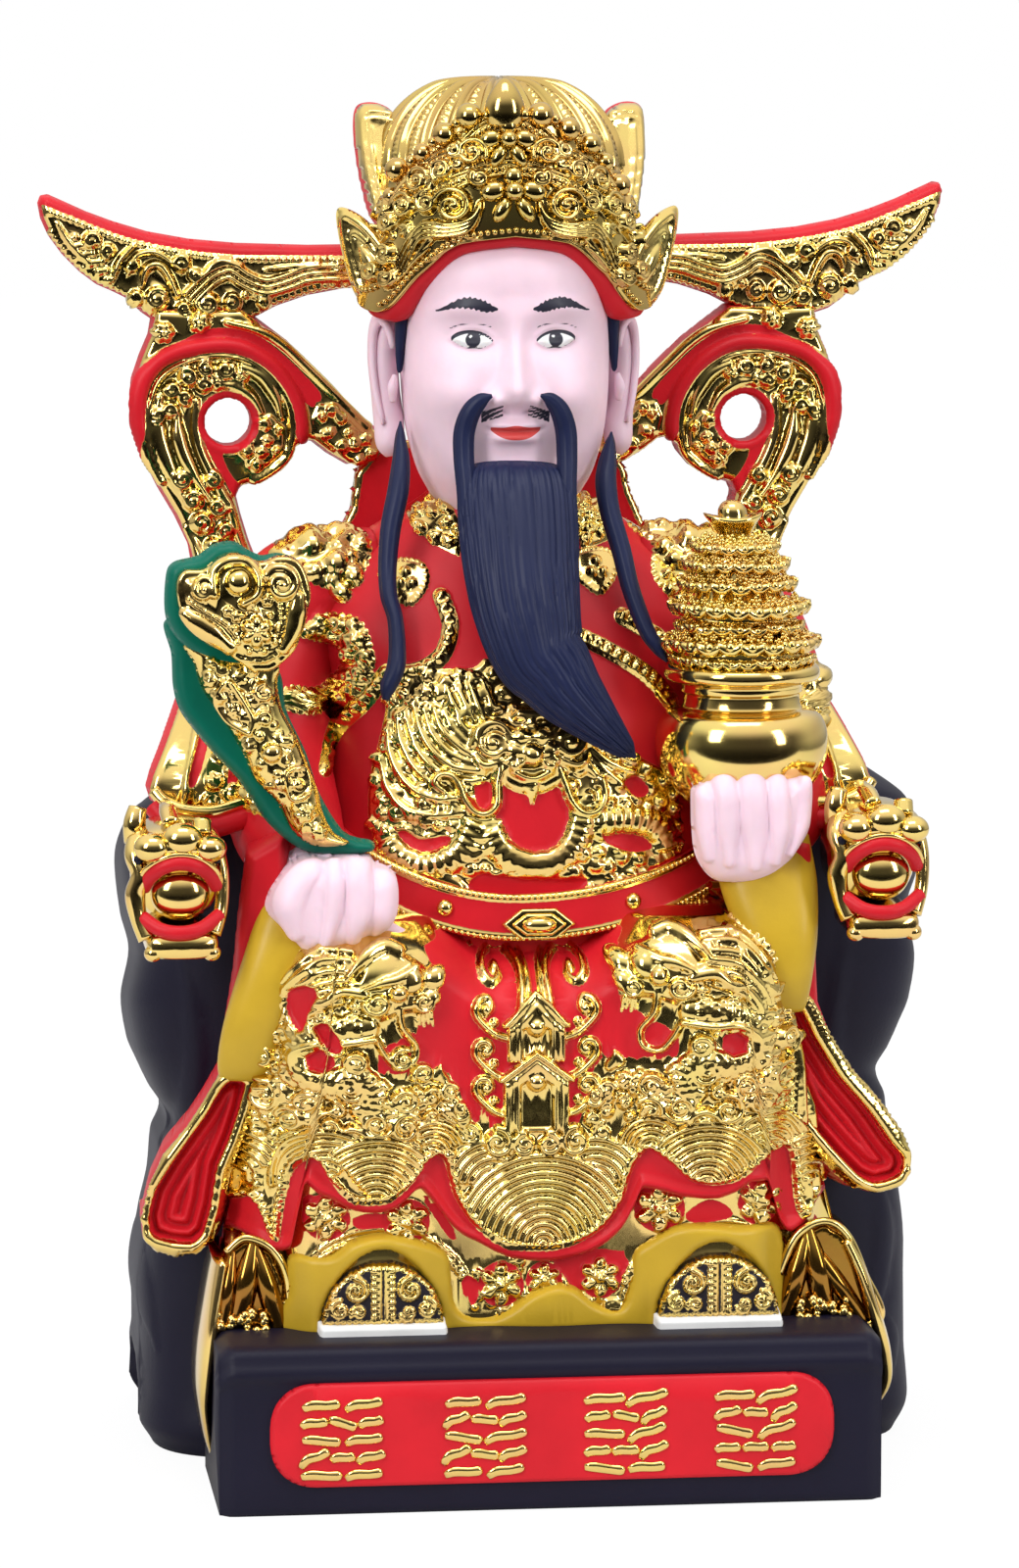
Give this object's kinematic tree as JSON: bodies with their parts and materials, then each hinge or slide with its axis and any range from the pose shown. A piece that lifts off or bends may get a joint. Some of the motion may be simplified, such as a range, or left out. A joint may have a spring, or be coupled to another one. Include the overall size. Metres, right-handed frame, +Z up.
{
  "type": "caishen figure",
  "caption": "Seated god of wealth on a dragon-armed throne, with winged hat, long beard, ruyi sceptre and treasure bowl, on a plinth with a plaque.",
  "frame": {"origin": "on the underside, at the middle of the box round the casting", "axes": "+Z up through the head, the figure faces -Y, +X to the figure's left hand"},
  "size_m": [0.268, 0.186, 0.4],
  "materials": {
    "gold_plating": "polished",
    "satin_gold_paint": "satin",
    "red_paint": "matte",
    "navy_paint": "matte",
    "flesh_paint": "satin",
    "green_paint": "satin",
    "white_paint": "satin"
  },
  "bodies": {
    "root": {"seated_figure": "gold_plating"}
  },
  "joints": []
}
